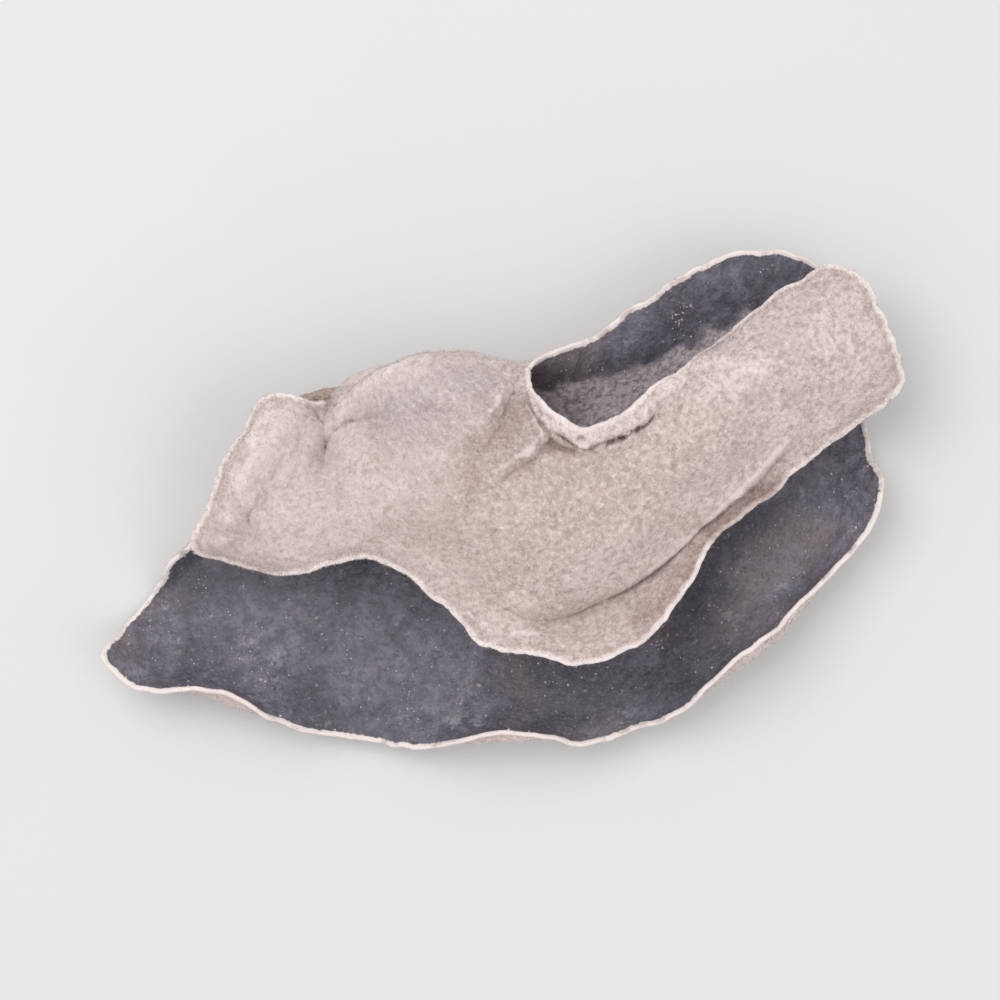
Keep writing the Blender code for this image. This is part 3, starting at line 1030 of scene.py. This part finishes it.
def black_skin():
    """The black side: leathery and finely mottled, dusty, felted on the bay's shore and at its margin."""
    s = Surface("black_skin", 0.4)
    wrinkles = s.noise(0.9, 4.0, 0.65, s.flow(0.5))
    patches = s.noise(7.0, 3.0, 0.5)
    mottle = s.noise(1.1, 5.0, 0.72)
    leather = s.noise(0.3, 3.0, 0.65)
    dust = s.noise(0.5, 2.0, 0.6)
    flecked = s.ramp(s.noise(0.5, 4.0, 0.7), 0.36, 0.6, 0.35, 1.0)
    colour = s.paint(s.mix(s.ramp(mottle, 0.32, 0.74), BLACK, BLOOM), (
        (patches, 0.42, 0.62, 0.6, DEEP_BLACK),
        (s.noise(9.0), 0.5, 0.7, 0.45, BROWN_BLACK),
        (leather, 0.52, 0.72, 0.5, BLOOM),
        (leather, 0.46, 0.3, 0.6, DEEP_BLACK),
        (wrinkles, 0.46, 0.32, 0.3, DEEP_BLACK),
        (s.noise(2.4, 5.0, 0.75), 0.56, 0.74, 0.4, DUST),
        (dust, 0.68, 0.76, 0.55, DUST),
        (s.read("shore"), 0.0, 0.9, flecked, SHORE_FELT),
    ))
    edge = s.math("ADD", s.read("margin"), s.times(s.noise(0.6, 3.0, 0.6), -0.5))
    wrapped = s.ramp(edge, -0.02, -0.16)
    worn = s.ramp(s.noise(2.0, 3.0, 0.6), 0.34, 0.52)
    colour = s.mix(wrapped, colour, s.mix(worn, PALE, HEM_AND_HIGHLIGHT))
    rough = s.math("MAXIMUM", s.ramp(mottle, 0.35, 0.7, 0.38, 0.62), s.times(wrapped, 0.92))
    rough = s.math("MAXIMUM", rough, s.times(s.read("shore"), 0.9))
    normal = s.bump(wrinkles, 0.12)
    normal = s.bump(mottle, 0.2, normal)
    normal = s.bump(leather, 0.09, normal)
    return s.finish(colour, rough, normal)


def hair_felt():
    """Hairs in the felt's colours, each with its own tone."""
    s = Surface("felt_hair", 0.25, 0.2)
    tone = s.read("tone")
    colour = s.paint(s.mix(s.ramp(tone, 0.0, 0.35), DARK_FELT, PALE), (
        (tone, 0.4, 1.0, 1.0, HEM_AND_HIGHLIGHT),
        (s.math("SUBTRACT", s.read("warm"), tone), 0.1, 0.6, 0.6, TAN),
        # the hairs carry the felt's stains, painted shade and painted light too
        (s.read("stain_and_painted_light"), 0.1, 0.9, 0.7, STAIN_AND_SHADE_BROWN),
    ))
    # the hairs take the felt's painted grey shade too
    colour = s.mix(s.times(s.read("grey_shade"), 0.7), colour, DUST_AND_SHADE_GREY)
    return s.finish(colour, s.ramp(tone, 0.0, 1.0, 0.75, 0.95))


def foot_flesh():
    """The foot: felt-coloured and flecked round its side, brown and fibrous where it was torn."""
    s = Surface("foot_flesh", 0.2, 0.25)
    fine = s.noise(0.25, 4.0, 0.7)
    patches = s.noise(1.1, 3.0, 0.6)
    flesh = s.mix(s.ramp(fine, 0.35, 0.65), BROWN, TAN)
    side = s.mix(s.ramp(patches, 0.35, 0.65), PALE, LIGHT)
    side = s.paint(side, [(s.noise(0.5, 3.0, 0.65), 0.52, 0.64, 0.5, DARK_FELT)])
    colour = s.paint(s.mix(s.read("torn"), side, flesh), [(patches, 0.58, 0.7, 0.4, BROWN)])
    return s.finish(colour, s.ramp(fine, 0.3, 0.7, 0.8, 0.95), s.bump(fine, 0.15))


def dust():
    """Pale dust, each crumb with its own tone."""
    s = Surface("pale_dust", 0.2)
    tone = s.read("tone")
    colour = s.paint(s.mix(s.ramp(tone, 0.3, 1.0), DUST_AND_SHADE_GREY, LIGHT), [(s.noise(0.1), 0.4, 0.6, 0.3, TAN)])
    return s.finish(colour, s.ramp(tone, 0.0, 1.0, 0.8, 0.95))


def floor_paper():
    s = Surface("pale_floor", 0.2)
    colour = s.mix(s.noise(40.0), (0.7, 0.7, 0.7, 1), (0.73, 0.73, 0.73, 1))
    return s.finish(colour, s.ramp(s.noise(2.0), 0.3, 0.7, 0.7, 0.8), s.bump(s.noise(0.5), 0.02))


# ---- The ear


def lobes():
    """The middles of both lobes with pleats, frills, nudges and folds, and their normals."""
    shapes = smooth_lobes()
    normals = grid_normals(*shapes)
    shapes = [
        fray_and_frill(pleats(points, normal), normal, fold_row)
        for points, normal, fold_row in zip(shapes, normals, (-1, 0))
    ]
    shapes[0] = folds(nudged(shapes[0]), normals[0])
    meet(*shapes)
    return shapes, grid_normals(*shapes)


def ear():
    """The sheet and what its hairs need to know of it."""
    (upper, lower), normals = lobes()
    fine, fine_normal = refine(upper), unit(refine(normals[0]))
    outer, inner = [], []
    for points, normal, fold_row, relief_of in (
        (fine, fine_normal, -1, upper_relief),
        (lower, normals[1], 0, lower_relief),
    ):
        margin, ring, along = charts(points, fold_row)
        pebble = lumps(points, PEBBLE_SIZE, 9)
        relief = relief_of(points, ring, along, margin, pebble)
        height = half_thickness(margin) + hem(margin) + relief
        # the upper felt's stored relief also takes the folds, for their painted shade and highlight
        if points is fine:
            relief = relief + FOLD_PAINTED_SHADE * ridges(points, FOLDS)
        outer.append(Side(points, normal, height, margin, ring, along, relief, pebble))
    for points, normal, fold_row in zip((upper, lower), normals, (-1, 0)):
        margin, ring, along = charts(points, fold_row)
        relief = skin_relief(points, margin)
        height = -(half_thickness(margin) + relief)
        maps = [grid[::COARSE, ::COARSE] for grid in (points, normal, height, margin, ring, along, relief)]
        inner.append(Side(*maps, np.zeros(maps[0].shape[:2])))
    mesh, kinds, rim = sheet_mesh(outer, inner)
    piece("ear_sheet", mesh, felt(), black_skin())
    mesh.polygons.foreach_set("material_index", kinds)
    mesh.update()
    return outer, inner, rim


HAIRS_ON_EACH_SIDE = 60000
HAIRS_ON_RIM = 9000
HAIRS_ON_FOOT_POINT = 3
HAIR_LENGTH = 0.32
RIM_HAIR_LENGTH = 0.26


def felt_hairs(outer, rim, foot):
    """Hairs on both felted sides, a fine fringe on the rim, and hairs round the foot."""
    dice = np.random.default_rng(4)
    material = hair_felt()
    for name, side in (("felt_hairs_above", outer[0]), ("felt_hairs_below", outer[1])):
        weight = 0.5 + fade(side.maps["margin"], 3.0, 0.0)
        place, normal, inward = spots(side, weight, HAIRS_ON_EACH_SIDE, dice)
        hairs(name, place, normal, -inward, HAIR_LENGTH, dice, material)
    at = dice.choice(len(rim["middle"]), HAIRS_ON_RIM)
    tilt = dice.random((HAIRS_ON_RIM, 1))
    outward, up = rim["outward"][at], rim["up"][at]
    place = rim["middle"][at] + (outward * (1 - tilt) + up * tilt) * HALF_MARGIN * 0.8
    place += (rim["middle"][at - 1] - rim["middle"][at]) * dice.random((HAIRS_ON_RIM, 1))
    hairs("felt_fringe", place, unit(outward + up * tilt), outward, RIM_HAIR_LENGTH, dice, material)
    place, normal = [np.repeat(values, HAIRS_ON_FOOT_POINT, 0) for values in foot]
    place = place + dice.normal(size=place.shape) * 0.05
    lean = np.tile((0.0, 1.0, 0.0), (len(place), 1))
    hairs("foot_hairs", place, normal, lean, HAIR_LENGTH, dice, material)


# ---- Torn foot and crumbs

FOOT_CUT = 0.25  # share of the foot's depth at which it was torn off, in its middle
FOOT_DOME = 0.5  # how much lower the torn face is at its edge
FOOT_RAGGED = 0.16
FOOT_LEVEL = 5
FOOT_COVER = 0.25  # how deep the foot stays under the black skin
FOOT_COVER_REACH = 1.6
FOOT_COVER_ROUNDS = 4


def held_in_sheet(points, inner):
    """The points, kept from coming through the black side, and their distance from it."""
    skin = np.concatenate([side.points.reshape(-1, 3) for side in inner])
    normal = np.concatenate([side.normal.reshape(-1, 3) for side in inner])
    for _ in range(FOOT_COVER_ROUNDS):
        distance, number = nearest(points, skin)
        depth = ((points - skin[number]) * normal[number]).sum(-1) + FOOT_COVER
        depth[distance > FOOT_COVER_REACH] = 0
        points = points - normal[number] * np.maximum(depth, 0)[:, None]
    return points, distance


def torn_foot(inner):
    """The stub by which the ear grew on its log, felted round its side and torn off."""
    shape = bmesh.new()
    bmesh.ops.create_icosphere(shape, subdivisions=FOOT_LEVEL, radius=1.0)
    shape.verts.index_update()
    ball = np.array([v.co for v in shape.verts])
    faces = np.array([[v.index for v in face.verts] for face in shape.faces])
    shape.free()
    angle = np.arctan2(ball[:, 2], ball[:, 0])
    fibres = lumps(np.stack([np.cos(angle), np.sin(angle), ball[:, 1] * 0.25], 1), 0.2, 21)
    swell = 0.94 + 0.12 * lumps(ball, 0.6, 22, 3) + 0.07 * fibres
    body = ball * swell[:, None]
    domed = FOOT_CUT - FOOT_DOME * (ball[:, 0] ** 2 + ball[:, 2] ** 2)
    ragged = domed + FOOT_RAGGED * lumps(ball, 0.4, 23, 4)
    torn = fade(body[:, 1] - ragged, -0.08, 0.04)
    body[:, 1] = np.minimum(body[:, 1], ragged)
    points, from_skin = held_in_sheet(body * KNOB_SIZE + KNOB, inner)
    mesh = make_mesh("torn_foot", points, [faces])
    store(mesh, "torn", torn)
    piece("torn_foot", mesh, foot_flesh())
    felted = (torn < 0.5) & (from_skin > 2 * HALF_SHEET)
    return points[felted], read_all(mesh.vertices, "normal", 3)[felted]


CRUMB_CORNERS = np.array([(1, 0, 0), (0, 1, 0), (-1, 0, 0), (0, -1, 0), (0, 0, 1), (0, 0, -1)], float)
CRUMB_FACES = np.array([(i, (i + 1) % 4, 4) for i in range(4)] + [((i + 1) % 4, i, 5) for i in range(4)])
DUST_COUNT = 2000
DUST_SIZE = 0.06


def dust_crumbs(inner):
    """Pale crumbs of dust on the black side, in loose clusters."""
    dice = np.random.default_rng(8)
    corners, count = [], 0
    for side, share in zip(inner, (0.25, 0.75)):
        weight = np.exp(3.5 * lumps(side.points, 3.2, 24))
        number = int(DUST_COUNT * share)
        place, normal, _ = spots(side, weight, number, dice)
        size = DUST_SIZE * np.exp(0.45 * dice.normal(size=(number, 1, 1)))
        shape = CRUMB_CORNERS * (0.6 + 0.8 * dice.random((number, 6, 3)))
        corners.append((place + normal * DUST_SIZE * 0.4)[:, None] + shape * size)
        count += number
    points = over_floor(np.concatenate(corners).reshape(-1, 3))
    faces = (np.arange(count)[:, None, None] * 6 + CRUMB_FACES).reshape(-1, 3)
    mesh = make_mesh("dust_crumbs", points, [faces], smooth=False)
    store(mesh, "tone", np.repeat(dice.random(count), 6))
    return piece("dust_crumbs", mesh, dust())


# ---- Floor, light and camera

CAMERA_HEIGHT = 0.39
LENS = 150.0
FLOOR_SIZE = 1.2
FLOOR_GAP = 0.00002
SKY = 0.74
LIGHTS = (
    ("key", (-0.2, 0.2, 0.48), 0.4, 1.3),
    ("fill", (0.35, -0.25, 0.4), 0.5, 0.6),
)


def stage():
    bpy.ops.mesh.primitive_plane_add(size=FLOOR_SIZE, location=(0, 0, -FLOOR_GAP))
    floor = bpy.context.object
    floor.name = "floor"
    floor.data.materials.append(floor_paper())
    world = bpy.data.worlds.new("studio")
    world.use_nodes = True
    background = world.node_tree.nodes["Background"].inputs
    background["Color"].default_value = (1, 1, 1, 1)
    background["Strength"].default_value = SKY
    bpy.context.scene.world = world
    bpy.context.scene.view_settings.view_transform = "Standard"
    for name, place, size, power in LIGHTS:
        lamp = bpy.data.lights.new(name, "AREA")
        lamp.size = size
        lamp.energy = power
        light = add(name, lamp)
        light.location = place
        light.rotation_euler = (-Vector(place)).to_track_quat("-Z", "Y").to_euler()


def camera():
    low, high = CAD_BOX
    data = bpy.data.cameras.new("camera")
    data.lens = LENS
    data.clip_start = 0.01
    view = add("camera", data)
    view.location = ((low.x + high.x) / 2, (low.y + high.y) / 2, CAMERA_HEIGHT)
    bpy.context.scene.camera = view


outer_sides, inner_sides, rim_course = ear()
foot_points = torn_foot(inner_sides)
dust_crumbs(inner_sides)
felt_hairs(outer_sides, rim_course, foot_points)
stage()
camera()
